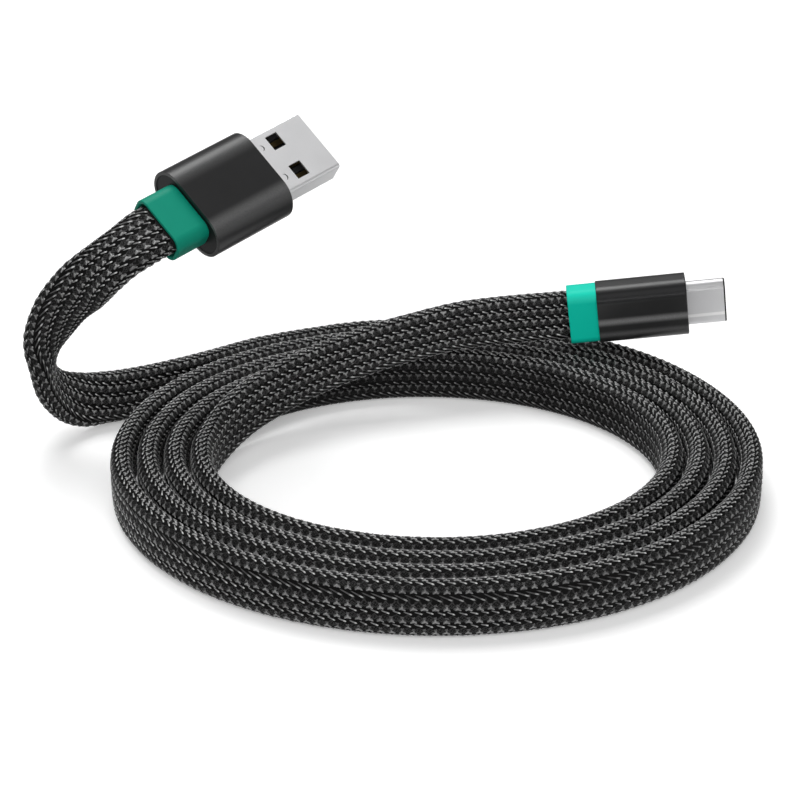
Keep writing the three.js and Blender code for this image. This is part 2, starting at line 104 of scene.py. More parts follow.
class Web:
    """The node tree of one material or of the world."""

    def __init__(self, owner: "bpy.types.Material | bpy.types.World") -> None:
        """Opens the tree, and finds a material's Principled shader."""
        owner.use_nodes = True
        self.owner = owner
        self.tree = owner.node_tree
        self.shader = self.tree.nodes.get("Principled BSDF")

    def feed(self, socket: bpy.types.NodeSocket, value: object) -> None:
        """Links a Value or a socket into a socket, or sets the socket to a constant."""
        held = value.source if isinstance(value, Value) else value
        if isinstance(held, bpy.types.NodeSocket):
            self.tree.links.new(held, socket)
        else:
            socket.default_value = held

    def join(self, name: str, value: object) -> None:
        """Links or sets one socket of the Principled shader."""
        self.feed(self.shader.inputs[name], value)

    def node(
        self, kind: str, settings: dict[str, object], inputs: dict[int | str, object], output: int | str = 0
    ) -> Value:
        """Adds any node.

        Args:
            kind: the node's type name.
            settings: attributes set before its sockets.
            inputs: socket name or number to a Value, socket or constant.
            output: the name or number of the socket that is returned.

        Returns:
            That output.
        """
        made = self.tree.nodes.new(kind)
        for key, setting in settings.items():
            setattr(made, key, setting)
        for key, value in inputs.items():
            self.feed(made.inputs[key], value)
        return Value(self, made.outputs[output])

    def mix(self, factor: Value, below: object, above: object) -> Value:
        """Mixes two colours, from the first where the factor is 0 to the second where it is 1."""
        inputs = {0: factor, 6: below, 7: above}
        return self.node("ShaderNodeMix", {"data_type": "RGBA", "clamp_factor": True}, inputs, 2)

    def noise(self, place: Value, scale: float, detail: float, dimensions: str = "3D") -> Value:
        """Noise from 0 to 1 over a place, with its scale in features to the unit and its detail in octaves."""
        inputs = {"Vector": place, "Scale": scale, "Detail": detail}
        return self.node("ShaderNodeTexNoise", {"noise_dimensions": dimensions}, inputs)

    def place(self) -> Value:
        """The place on the piece, in metres."""
        return self.node("ShaderNodeTexCoord", {}, {}, "Object")

    def grain(self, scale: float, detail: float = 3.0) -> Value:
        """Noise over the piece, with its scale in features to the metre."""
        return self.noise(self.place(), scale, detail)

    def weave(self) -> tuple[Value, Value, Value]:
        """The braid's map: the place on it, the column along the ribbon and the row round it."""
        uv = self.node("ShaderNodeUVMap", {"uv_map": "weave"}, {})
        parts = self.node("ShaderNodeSeparateXYZ", {}, {0: uv}).source.node.outputs
        return uv, Value(self, parts[0]), Value(self, parts[1])

    def chance(self, uv: Value) -> Value:
        """A number from 0 to 1 that differs from one repeat of the braid to the next."""
        cell = self.node("ShaderNodeVectorMath", {"operation": "FLOOR"}, {0: uv})
        return self.node("ShaderNodeTexWhiteNoise", {"noise_dimensions": "2D"}, {"Vector": cell})

    def offset(self, plug: "PlugPlace") -> Value:
        """The distance across a plug from its middle, in millimetres."""
        across = plug.across()
        inputs = {0: self.place(), 1: tuple(across)}
        along = self.node("ShaderNodeVectorMath", {"operation": "DOT_PRODUCT"}, inputs, "Value")
        return (along - across.dot(Vector(plug.rear)) * MM) * (1 / MM)

    def by_ray(self, kind: str, others: object, these: object) -> Value:
        """One shader for the rays of a kind, and another for all others."""
        ray = self.node("ShaderNodeLightPath", {}, {}, f"Is {kind} Ray")
        return self.node("ShaderNodeMixShader", {}, {0: ray, 1: others, 2: these})

    def bump(self, height: Value, depth: float) -> None:
        """Joins a relief from 0 to 1, with its depth in metres, to the shader's normal."""
        inputs = {"Strength": 1.0, "Distance": depth, "Height": height}
        self.join("Normal", self.node("ShaderNodeBump", {}, inputs))


def grey(level: float) -> Colour:
    """A neutral colour."""
    return (level, level, level, 1.0)


def tint(colour: Triple, share: float = 1.0) -> Colour:
    """A colour made darker or lighter."""
    return (*(min(1.0, part * share) for part in colour), 1.0)


# ---- Places


@dataclass(frozen=True)
class PlugPlace:
    """Where a collar's rear face stands, the way its plug points, and the way its broad face looks."""

    rear: Triple
    axis: Triple
    face: Triple

    def along(self) -> Vector:
        """The way the plug points."""
        return Vector(self.axis).normalized()

    def across(self) -> Vector:
        """The plug's width axis."""
        return Vector(self.face).cross(Vector(self.axis)).normalized()

    def matrix(self) -> Matrix:
        """Takes the plug's own frame, Z along it and Y out of its broad face, to the part's frame."""
        x, z = self.across(), self.along()
        turn = Matrix((x, z.cross(x), z)).transposed().to_4x4()
        return Matrix.Translation(Vector(self.rear) * MM) @ turn


PLUG_A = PlugPlace((-37.3, 9.74, 41.08), (0.709, 0.687, 0.16), (0.331, -0.525, 0.784))
PLUG_C = PlugPlace((30.85, 34.58, 15.36), (0.992, -0.03, 0.12), (0.0, -0.99, -0.13))


# ---- Finishes


@dataclass(frozen=True)
class PaintedShade:
    """Painted shade on the braid: darker on the ribbon's shoulders, in the coil's inner faces and at the run's bend.

    Rows count round the ribbon and columns from the oval plug's end. A stretch of columns is given by the two where
    it starts to be dark and the two where it stops.
    """

    shoulders: tuple[Pair, ...] = ((7.0, 0.4), (5.0, 0.25))
    inner_row: float = 2.5
    inner_reach: float = 2.0
    coil: tuple[Pair, Pair] = ((95.0, 125.0), (690.0, 670.0))
    coil_painted_shade: float = 0.58
    bend: tuple[Pair, Pair] = ((727.0, 737.0), (756.0, 746.0))
    bend_painted_shade: float = 0.36

    def share_after_painted_shade(self, u: Value, v: Value) -> Value:
        """How light the braid is after its painted shade.

        Args:
            u: the column.
            v: the row.

        Returns:
            The share of the full shade.
        """
        row = v.math("FLOOR")
        share: "Value | float" = 1.0
        for number, dark in self.shoulders:
            # Painted shade on the shoulder rows.
            share = (abs(row - number).ramp(0.4, 0.6) * dark + (1.0 - dark)) * share
        inner = abs(row - self.inner_row).ramp(self.inner_reach + 0.1, self.inner_reach - 0.1)
        # Painted shade on the coil's inner faces and at the bend.
        wound, bent = (u.ramp(*start) * u.ramp(*stop) for start, stop in (self.coil, self.bend))
        return share * (1.0 - wound * inner * self.coil_painted_shade) * (1.0 - bent * self.bend_painted_shade)


@dataclass(frozen=True)
class Braid:
    """The ground of the plaited yarns: black diamonds in a grey net, and grey knots between them.

    The pattern lies on the weave map, one unit to a repeat along the ribbon and one to a row across it. A ray is how
    its distance grows along and across, and the distances where it ends and where it is full.
    """

    black: float = 0.008
    # The gaps between the yarns, painted darker than the black yarn as shade.
    gap: float = 0.002
    net: float = 0.065
    patch: float = 0.15
    knot: float = 0.14
    relief: float = 0.14 * MM
    wander: float = 0.32
    diamond: Pair = (0.5, 0.2)
    diamond_size: Pair = (0.5, 0.3)
    knots: Pair = (0.0, 0.47)
    rays: tuple[tuple[float, ...], ...] = ((1.5, 0.6, 0.13, 0.04), (0.8, -1.5, 0.15, 0.05), (0.25, 1.7, 0.14, 0.05))
    hairs: float = 46.0

    def make(self) -> bpy.types.Material:
        """Builds the braid's material.

        Returns:
            The material.
        """
        web = Web(bpy.data.materials.new("braid_yarn"))
        uv, u, v = web.weave()
        chance = web.chance(uv)
        # Random tone from repeat to repeat, times the painted shade of the shoulders, inner faces and bend.
        tone_and_painted_shade = (chance * 0.6 + 0.7) * PaintedShade().share_after_painted_shade(u, v)
        shift = (web.noise(uv, 0.9, 3.0, "2D") - 0.5) * self.wander
        u, v = u + shift, v + shift * 0.5

        # Black diamonds, a little pointed along the ribbon, in their grey net.
        dx, dy = u.wrapped(self.diamond[0]), v.wrapped(self.diamond[1])
        wide, high = self.diamond_size
        diamond = (abs(dx) * (1 / wide) + abs(dy) * (1 / high)) * (chance * 0.6 + 1.0)
        inside = diamond.ramp(0.86, 0.62)
        net = diamond.ramp(0.72, 0.92) * diamond.ramp(1.34, 1.06)

        # Grey knots between the diamonds: short rays that cross on a patch.
        kx, ky = u.wrapped(self.knots[0]), v.wrapped(self.knots[1])
        crossing = (kx * kx * 30.0 + dy * dy * 90.0).ramp(0.75, 0.1)
        upright, leaning, level = (abs(kx * a + ky * b).ramp(none, full) for a, b, none, full in self.rays)
        reach = (kx * kx * 4.2 + ky * ky * 24.0).ramp(0.6, 0.2)
        knot = upright.math("MAXIMUM", leaning).math("MAXIMUM", level) * reach
        patch = (kx * kx * 4.2 + ky * ky * 27.0).ramp(0.75, 0.15)

        # The ground is the painted shade of the gaps between the yarns.
        colour: object = grey(self.gap)
        for share, shade in (
            (inside, self.black),
            (net * 0.85 * tone_and_painted_shade, self.net),
            (crossing * tone_and_painted_shade, self.knot),
            (patch * 0.8 * tone_and_painted_shade, self.patch),
            (knot * tone_and_painted_shade, self.knot),
        ):
            colour = web.mix(share, colour, grey(shade))
        web.join("Base Color", colour)

        hair = ((v * 1.52 + u * 1.47) * self.hairs).math("SINE")
        relief = inside * (hair * 0.08 + 0.35) + net * 0.4 + crossing * 0.2
        web.bump(relief + patch * (hair * 0.06 + 0.25) + knot * 0.25, self.relief)
        web.join("Roughness", 0.66 - net * 0.1)
        web.join("Specular IOR Level", 0.1)
        return web.owner


@dataclass(frozen=True)
class Yarn:
    """A strand of fine filaments that shows on the braid, with painted shade where it dives under its neighbours and
    a painted highlight near its end.

    Its weave map has one unit to a strand, along it and across it.
    """

    name: str
    shade: float
    # The shade of the painted highlight near the strand's end.
    tip: float
    painted_highlight_at: float = 0.79
    filaments: float = 5.0
    roughness: float = 0.55
    relief: float = 0.02 * MM

    def make(self) -> bpy.types.Material:
        """Builds the yarn's material.

        Returns:
            The material.
        """
        web = Web(bpy.data.materials.new(self.name))
        uv, u, v = web.weave()
        along, across = u.math("FRACT"), v.math("FRACT")
        # Random tone times the braid's painted shade.
        tone_and_painted_shade = (web.chance(uv) * 0.7 + 0.65) * PaintedShade().share_after_painted_shade(u, v)
        hair = (across * (self.filaments * math.tau) + along * 4.0).math("SINE") * 0.5 + 0.5
        # Painted shade where the strand dives under its neighbours, and darker lines between filaments.
        level = (along.ramp(0.02, 0.25) * 0.75 + 0.25) * (hair * 0.35 + 0.65) * tone_and_painted_shade
        # A painted highlight near the strand's end.
        painted_tip_highlight = abs(along - self.painted_highlight_at).ramp(0.19, 0.03)
        colour = web.mix(level, grey(self.shade * 0.12), grey(self.shade))
        web.join("Base Color", web.mix(painted_tip_highlight * tone_and_painted_shade, colour, grey(self.tip)))
        web.join("Roughness", self.roughness - hair * 0.1)
        web.join("Specular IOR Level", 0.15)
        web.bump(hair, self.relief)
        return web.owner


CLOUDS = 220.0


@dataclass(frozen=True)
class Satin:
    """A fine moulded skin, a little uneven."""

    name: str
    colour: Triple
    roughness: float
    grain_scale: float = 9000.0
    grain_depth: float = 0.004 * MM
    uneven: float = 0.06
    specular: float = 0.5

    def make(self) -> bpy.types.Material:
        """Builds the skin's material."""
        web = Web(bpy.data.materials.new(self.name))
        fine, broad = web.grain(self.grain_scale), web.grain(CLOUDS, 2.0)
        light = tint(self.colour, 1 + 3 * self.uneven)
        web.join("Base Color", web.mix(broad * 0.7 + fine * 0.3, tint(self.colour), light))
        web.join("Roughness", (broad - 0.5) * self.uneven + (fine - 0.5) * self.uneven + self.roughness)
        web.join("Specular IOR Level", self.specular)
        web.bump(fine, self.grain_depth)
        return web.owner


@dataclass(frozen=True)
class Anodised:
    """Blasted and anodised metal, with bands painted lighter as highlights on its shoulders.

    Each band is its middle and its reach across the plug, in millimetres, and how much it is lighter. In the dull
    band, given in the same way, it mirrors the room less.
    """

    name: str
    colour: Triple
    place: PlugPlace
    painted_bands: tuple[Triple, ...]
    dull: Triple = (0.0, 0.0, 0.0)
    roughness: float = 0.34
    relief: float = 0.005 * MM

    def make(self) -> bpy.types.Material:
        """Builds the metal's material.

        Returns:
            The material.
        """
        web = Web(bpy.data.materials.new(self.name))
        fine, broad = web.grain(5000.0, 4.0), web.grain(CLOUDS, 2.0)
        distance = web.offset(self.place)
        painted_highlight: "Value | float" = 0.0
        # Painted highlights in bands across the plug.
        for middle, reach, strength in self.painted_bands:
            painted_highlight = abs(distance - middle).ramp(reach, 0.0) * strength + painted_highlight
        skin = web.mix(broad * 0.5 + fine * 0.5, tint(self.colour, 0.9), tint(self.colour, 1.25))
        web.join("Base Color", web.mix(painted_highlight * (fine * 0.8 + 0.6), skin, grey(1.0)))
        middle, reach, strength = self.dull
        if strength:
            web.join("Metallic", abs(distance - middle).ramp(reach, reach / 2) * strength)
        web.join("Roughness", (broad - 0.5) * 0.06 + (fine - 0.5) * 0.14 + self.roughness)
        web.bump(fine, self.relief)
        return web.owner


@dataclass(frozen=True)
class Drawn:
    """Plated sheet metal with faint marks along one way.

    Each band is painted light or shade: its middle and its reach across a plug, in millimetres, and how much it is
    lighter as a painted highlight, or darker as painted shade where this is negative.
    """

    name: str
    colour: Triple
    roughness: float = 0.5
    marks: Triple = (1400.0, 1400.0, 120.0)
    place: PlugPlace = PLUG_C
    painted_bands: tuple[Triple, ...] = ()
    relief: float = 0.0015 * MM

    def make(self) -> bpy.types.Material:
        """Builds the metal's material.

        Returns:
            The material.
        """
        web = Web(bpy.data.materials.new(self.name))
        stretched = web.node("ShaderNodeMapping", {}, {"Vector": web.place(), "Scale": self.marks})
        lines, cloud = web.noise(stretched, 2.0, 4.0), web.grain(260.0, 2.0)
        colour = web.mix(cloud * 0.6 + lines * 0.4, tint(self.colour, 0.93), tint(self.colour))
        # Painted highlights and painted shade, band by band.
        for middle, reach, strength in self.painted_bands:
            share = abs(web.offset(self.place) - middle).ramp(reach, reach / 2) * abs(strength)
            colour = web.mix(share, colour, grey(1.0 if strength > 0 else 0.0))
        web.join("Base Color", colour)
        web.join("Metallic", 1.0)
        web.join("Roughness", (lines - 0.5) * 0.08 + (cloud - 0.5) * 0.05 + self.roughness)
        web.bump(lines, self.relief)
        return web.owner


class Finish(Enum):
    """The finishes of the plugs' pieces."""

    # The housings' bands are painted highlights.
    WIDE_HOUSING = Anodised(
        "wide_housing_skin", (0.009, 0.009, 0.0095), PLUG_A, ((5.0, 2.2, 0.06), (-5.5, 2.0, 0.105))
    )
    OVAL_HOUSING = Anodised(
        "oval_housing_skin",
        (0.0205, 0.0205, 0.021),
        PLUG_C,
        ((-0.5, 1.0, 0.2), (-3.0, 0.9, 0.07)),
        (4.2, 1.1, 1.0),
    )
    # Black for the rear plates; on the oval shell's rolled lip it stands for painted shade.
    DARK_RIM = Satin("black_and_painted_shade", (0.004, 0.004, 0.0045), 0.5, specular=0.25)
    # The wide plug's collar: the same teal as the oval plug's, painted darker as shade.
    DARK_TEAL = Satin("teal_skin_painted_shade", (0.002, 0.27, 0.18), 0.5, 7000.0, 0.003 * MM, 0.03, 0.2)
    TEAL = Satin("teal_skin", (0.002, 0.66, 0.49), 0.5, 7000.0, 0.003 * MM, 0.03, 0.2)
    BLACK_MOULDING = Satin("black_moulding", (0.012, 0.012, 0.012), 0.5)
    PALE_MOULDING = Satin("pale_moulding", (0.6, 0.58, 0.52), 0.5)
    BOARD = Satin("board_mask", (0.01, 0.12, 0.04), 0.35, 3000.0, 0.01 * MM)
    NICKEL = Drawn("nickel_plate", (0.78, 0.78, 0.79))
    WIDE_SHELL = Drawn("wide_shell_plate", (0.92, 0.92, 0.93))
    # The oval shell: painted shade that thins the highlight on its upper shoulder, and a painted highlight on its
    # lower lip.
    OVAL_SHELL = Drawn("oval_shell_plate", (0.78, 0.78, 0.79), painted_bands=((3.65, 0.6, -0.45), (-1.9, 0.4, 0.95)))
    # Gold darkened far below its own colour, as painted shade inside the shell.
    GOLD = Drawn("gold_plate_painted_shade", (0.11, 0.08, 0.035), 0.45)
    WIRE_RED = Satin("wire_red", (0.5, 0.02, 0.02), 0.45)
    WIRE_WHITE = Satin("wire_white", (0.75, 0.75, 0.75), 0.45)
    WIRE_GREEN = Satin("wire_green", (0.02, 0.25, 0.05), 0.45)
    WIRE_BLACK = Satin("wire_black", (0.012, 0.012, 0.012), 0.45)


_made: dict[object, bpy.types.Material] = {}


def material(finish: "Finish | Yarn") -> bpy.types.Material:
    """The finish's material, built on first use."""
    if finish not in _made:
        _made[finish] = (finish.value if isinstance(finish, Finish) else finish).make()
    return _made[finish]


# ---- Workshop


def only(obj: Object) -> None:
    """Deselects everything else and makes the object active."""
    bpy.ops.object.select_all(action="DESELECT")
    obj.select_set(True)
    bpy.context.view_layer.objects.active = obj


def apply(obj: Object, kind: str, settings: dict[str, object]) -> None:
    """Adds one modifier to an object and applies it."""
    only(obj)
    change = obj.modifiers.new(kind.lower(), kind)
    for key, setting in settings.items():
        setattr(change, key, setting)
    bpy.ops.object.modifier_apply(modifier=change.name)


@dataclass(frozen=True)
class Bar:
    """A bar along Z with its four long edges rounded, in millimetres, and the faces round each edge."""

    width: float
    thickness: float
    start: float
    end: float
    radius: float
    steps: int = 10
    least_flat: float = 0.002

    def build(self, name: str) -> Object:
        """Makes it as a block with beveled edges.

        Args:
            name: the object's name.

        Returns:
            The object.
        """
        bpy.ops.object.select_all(action="DESELECT")
        bpy.ops.mesh.primitive_cube_add(size=1.0, location=(0, 0, (self.start + self.end) / 2 * MM))
        obj = bpy.context.active_object
        obj.name = name
        obj.scale = (self.width * MM, self.thickness * MM, (self.end - self.start) * MM)
        bpy.ops.object.transform_apply(location=True, rotation=True, scale=True)
        bpy.ops.object.mode_set(mode="EDIT")
        bpy.ops.mesh.select_mode(type="EDGE")
        bpy.ops.mesh.select_all(action="DESELECT")
        shape = bmesh.from_edit_mesh(obj.data)
        for edge in shape.edges:
            low, high = (v.co.z for v in edge.verts)
            edge.select_set(abs(high - low) > 1e-6)
        shape.select_flush_mode()
        bmesh.update_edit_mesh(obj.data)
        most = min(self.width, self.thickness) / 2 - self.least_flat
        radius = min(self.radius, most) * MM
        bpy.ops.mesh.bevel(offset=radius, segments=self.steps, profile=0.5, affect="EDGES")
        bpy.ops.object.mode_set(mode="OBJECT")
        return obj


def cut(obj: Object, tool: Object) -> None:
    """Cuts a tool out of an object, and removes the tool."""
    apply(obj, "BOOLEAN", {"operation": "DIFFERENCE", "solver": "EXACT", "object": tool})
    bpy.data.objects.remove(tool, do_unlink=True)


def soften(obj: Object, width: float, steps: int = 3) -> None:
    """Rounds the sharp edges, with a width in millimetres and faces across it, and shades the rest smooth."""
    rounding = {
        "width": width * MM,
        "segments": steps,
        "limit_method": "ANGLE",
        "angle_limit": math.radians(35),
        "use_clamp_overlap": True,
    }
    apply(obj, "BEVEL", rounding)
    bpy.ops.object.shade_smooth_by_angle(angle=math.radians(30))
    apply(obj, "WEIGHTED_NORMAL", {"mode": "FACE_AREA", "weight": 100, "keep_sharp": True})


def dress(obj: Object, finish: Finish) -> None:
    """Gives an object one finish all over."""
    obj.data.materials.clear()
    obj.data.materials.append(material(finish))


def woven(
    name: str, points: np.ndarray, faces: list[tuple[int, ...]], corners: np.ndarray, skin: bpy.types.Material
) -> Object:
    """Makes a smooth piece of the braid.

    Args:
        name: the piece's name.
        points: its places in millimetres.
        faces: the numbers of each face's points.
        corners: the weave map's place of each face's corners.
        skin: its material.

    Returns:
        The piece.
    """
    mesh = bpy.data.meshes.new(name)
    mesh.from_pydata((points * MM).tolist(), [], faces)
    mesh.uv_layers.new(name="weave").data.foreach_set("uv", corners.astype(np.float32).ravel())
    mesh.polygons.foreach_set("use_smooth", np.ones(len(mesh.polygons), dtype=bool))
    mesh.materials.append(skin)
    mesh.update()
    obj = bpy.data.objects.new(name, mesh)
    bpy.context.collection.objects.link(obj)
    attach(obj, "root")
    return obj


# ---- The ribbon


def unit(ways: np.ndarray) -> np.ndarray:
    """Ways made of length 1."""
    return ways / np.linalg.norm(ways, axis=-1, keepdims=True)


def hermite(four: np.ndarray, share: float) -> np.ndarray:
    """One stretch of a centripetal Catmull-Rom curve.

    Args:
        four: four stations, whose first three numbers are places and set the pace.
        share: how far from the second to the third.

    Returns:
        The station there.
    """
    spans = np.linalg.norm(np.diff(four[:, :3], axis=0), axis=1)
    gaps = np.sqrt(np.where(spans < 1e-6, spans[1], spans))
    v0, v1, v2, v3 = four
    first = ((v1 - v0) / gaps[0] - (v2 - v0) / (gaps[0] + gaps[1]) + (v2 - v1) / gaps[1]) * gaps[1]
    second = ((v2 - v1) / gaps[1] - (v3 - v1) / (gaps[1] + gaps[2]) + (v3 - v2) / gaps[2]) * gaps[1]
    square, cube = share**2, share**3
    ends = v1 * (2 * cube - 3 * square + 1) + v2 * (3 * square - 2 * cube)
    return ends + first * (cube - 2 * square + share) + second * (cube - square)


@dataclass(frozen=True)
class Weave:
    """How the braid's repeats lie on the ribbon, in millimetres.

    Rows run along the ribbon. They start from the middle of its lower edge and go up its inner face and down its
    outer one. A long row has floats that reach under their neighbours, and a crossed one has crossings and pads.
    """

    repeat: float = 1.57
    tight_repeat: float = 1.46
    tight_from: float = 1085.0
    tight_over: float = 30.0
    row: float = 2.12
    floats: tuple[float, ...] = (0.15, 1.9, 4.26, 6.36, 8.4, 10.36, 11.62, 13.68, 16.53, 18.68, 20.68)
    float_share: float = 0.78
    least_row: float = 0.45
    long: tuple[int, ...] = (1, 7)
    inner: tuple[int, ...] = (0, 2, 3, 4, 5)
    outer: tuple[int, ...] = (6, 8, 9, 10)
    crossed: tuple[int, ...] = (1, 2, 3, 4, 5, 7, 8, 9, 10)

    def starts(self) -> np.ndarray:
        """Where each row starts, round the section."""
        return np.array(self.floats) - self.float_share * self.row

    def across(self, around: float, whole: float) -> float:
        """Turns a distance round the section to rows.

        Args:
            around: the distance, from 0 to the whole.
            whole: the way round.

        Returns:
            Rows, which run on evenly over the place where they start again.
        """
        starts = self.starts()
        last = np.append(-whole, np.array(self.floats)[:-1])
        opens = np.maximum(starts, last + self.least_row)
        lap = around >= opens[0] + whole
        place = around - whole if lap else around
        k = int(np.searchsorted(opens, place, side="right")) - 1
        return k + min((place - starts[k]) / self.row, 0.999) + (len(self.floats) if lap else 0)

    def columns(self, length: float) -> np.ndarray:
        """The distances along the ribbon at which its columns of repeats start."""
        places = [0.0]
        while places[-1] < length:
            share = (places[-1] - self.tight_from) / self.tight_over + 0.5
            share = min(max(share, 0.0), 1.0)
            places.append(places[-1] + self.repeat + (self.tight_repeat - self.repeat) * share)
        return np.array(places)


@dataclass
class Ribbon:
    """The flat braided ribbon from one collar to the other: free run, coil and free run, as one sleeve.

    A station is six numbers: a place on the centreline in millimetres, and the way of the upper edge there.
    """

    width: float = 9.1
    thickness: float = 3.3
    declared_width: float = 9.2
    flat_bulge: float = 0.035
    coil_centre: Pair = (6.55, -1.0)
    half_length: float = 36.95
    half_depth: float = 31.8
    pitch_along: float = 4.25
    pitch_across: float = 4.1
    turns: float = 3.75
    steps_per_turn: int = 24
    lead: float = 3.6
    lead_in: Triple = (0.12, 0.99, 0.0)
    lead_out: Triple = (-1.0, -0.03, 0.0)
    collar_steps: Triple = (1.6, -0.4, -1.75)
    fine_step: float = 0.25
    ring_step: float = 0.92
    ring_points: int = 60
    braid: Braid = Braid()
    weave: Weave = Weave()
    run_a: tuple[tuple[float, ...], ...] = (
        (-5.45, 45.1, 4.6, 0, 0, 1),
        (-13.95, 42.4, 4.6, 0, 0, 1),
        (-23.45, 38.2, 4.6, 0, 0, 1),
        (-31.45, 32.8, 4.62, 0, 0, 1),
        (-38.45, 28.4, 4.66, 0, 0, 1),
        (-44.45, 25.2, 4.75, 0, 0.02, 1),
        (-48.95, 22.8, 5.1, 0.02, 0.14, 0.99),
        (-52.35, 21, 5.6, 0.02, 0.49, 0.87),
        (-55.55, 18.9, 7.5, -0.11, 0.8, 0.59),
        (-57.45, 16.4, 11.45, -0.1, 0.92, 0.38),
        (-57.35, 14.9, 15.85, 0.16, 0.96, 0.24),
        (-56.35, 13.7, 20.8, 0.71, 0.7, -0.03),
        (-53.45, 11.5, 26.8, 0.84, 0.36, -0.41),
        (-50.65, 9.8, 30.4, 0.78, 0.05, -0.63),
        (-47.25, 7.7, 34.2, 0.48, -0.49, -0.72),
        (-42.55, 6.3, 38.65, 0.51, -0.7, -0.5),
    )
    run_c: tuple[tuple[float, ...], ...] = (
        (-28.85, 6.7, 5.0, -0.03, 0, 1),
        (-26.45, 11.4, 6.1, -0.08, 0, 0.99),
        (-23.45, 15.5, 7.1, -0.12, 0, 0.98),
        (-20.05, 18.9, 7.9, -0.12, 0, 0.99),
        (-16.05, 22, 8.9, -0.1, -0.05, 0.99),
        (-10.75, 25.5, 9.9, -0.1, -0.1, 0.98),
        (-3.85, 28.2, 11.5, -0.08, -0.14, 0.98),
        (2.55, 29.8, 12.9, -0.03, -0.16, 0.98),
        (11.75, 32.2, 14.3, -0.02, -0.15, 0.98),
        (20.65, 33.7, 14.8, -0.08, -0.13, 0.98),
    )

    def coil(self) -> np.ndarray:
        """The coil's stations, from its inner end, with a straight lead at each end."""
        t = np.arange(int(self.turns * self.steps_per_turn) + 1) / self.steps_per_turn
        angle = math.pi + math.tau * t
        x = self.coil_centre[0] + (self.half_length + self.pitch_along * t) * np.cos(angle)
        y = self.coil_centre[1] + (self.half_depth + self.pitch_across * t) * np.sin(angle)
        places = np.stack([x, y, np.full(len(t), self.declared_width / 2)], 1)
        inner = places[0] + unit(np.array(self.lead_in)) * self.lead
        outer = places[-1] + unit(np.array(self.lead_out)) * self.lead
        places = np.vstack([inner, places, outer])
        return np.hstack([places, np.tile((0.0, 0.0, 1.0), (len(places), 1))])

    def stations(self) -> np.ndarray:
        """All stations from inside the oval plug's collar to inside the wide plug's."""
        end_c, end_a = (
            np.array([(*(Vector(plug.rear) + plug.along() * d), *up) for d in self.collar_steps])
            for plug, up in ((PLUG_C, PLUG_C.across()), (PLUG_A, -PLUG_A.across()))
        )
        return np.vstack([end_c, self.run_c[::-1], self.coil(), self.run_a, end_a[::-1]])

    def rings(self) -> tuple[np.ndarray, np.ndarray, np.ndarray]:
        """Even steps along a smooth curve through the stations.

        Returns:
            For each step its centre, the way across the broad faces, and the way of its upper edge.
        """
        rows = self.stations()
        padded = np.vstack([rows[:1], rows, rows[-1:]])
        fine = []
        for i in range(len(rows) - 1):
            four = padded[i : i + 4]
            count = max(6, int(np.linalg.norm(four[2, :3] - four[1, :3]) / self.fine_step))
            fine += [hermite(four, k / count) for k in range(count)]
        curve = np.vstack([*fine, rows[-1]])
        spans = np.linalg.norm(np.diff(curve[:, :3], axis=0), axis=1)
        lengths = np.append(0.0, np.cumsum(spans))
        wanted = np.linspace(0.0, lengths[-1], round(lengths[-1] / self.ring_step) + 1)
        even = np.stack([np.interp(wanted, lengths, column) for column in curve.T], 1)
        at, up = even[:, :3], even[:, 3:]
        tangent = unit(np.vstack([at[1:], at[-1:]]) - np.vstack([at[:1], at[:-1]]))
        up = unit(up - tangent * (up * tangent).sum(1, keepdims=True))
        return at, np.cross(up, tangent), up

    def perimeter(self) -> float:
        """The way round the section."""
        return math.pi * self.thickness + 2 * (self.width - self.thickness)

    def section(self, around: np.ndarray, height: "np.ndarray | float" = 0.0) -> tuple[np.ndarray, np.ndarray]:
        """The ribbon's outline, with round edges and slightly bulged broad faces.

        Args:
            around: distances round it from the middle of its lower edge.
            height: above the surface.

        Returns:
            The places across the thickness and across the width.
        """
        r = self.thickness / 2
        flat = self.width / 2 - r
        quarter = math.pi * r / 2
        s = np.mod(around, self.perimeter())
        ends = [quarter, quarter + 2 * flat, 3 * quarter + 2 * flat, 3 * quarter + 4 * flat]
        parts = [s < end for end in ends]
        inward, outward = math.pi / 2, 1.5 * math.pi
        turns = [s / r, inward, inward + (s - ends[1]) / r, outward]
        turn = np.select(parts, turns, outward + (s - ends[3]) / r)
        middle = np.select(parts, [-flat, s - ends[0] - flat, flat, ends[3] - s - flat], -flat)
        bulge = r * self.flat_bulge * np.cos(middle / flat * math.pi / 2)
        return np.sin(turn) * (r + bulge + height), middle - np.cos(turn) * (r + height)

    def surface(self, along: np.ndarray, around: np.ndarray, height: np.ndarray) -> np.ndarray:
        """Places over the sleeve's surface.

        Args:
            along: distances from the oval plug's end, in millimetres.
            around: distances round the section from the middle of its lower edge.
            height: above the surface.

        Returns:
            The places, with a last axis of three.
        """
        t, w = self.section(around, height)
        place = np.clip(along / self.ring_step, 0, len(self.frames[0]) - 1.001)
        k = place.astype(int)
        share = (place - k)[..., None]
        at, side, up = (f[k] * (1 - share) + f[k + 1] * share for f in self.frames)
        return at + side * t[..., None] + up * w[..., None]

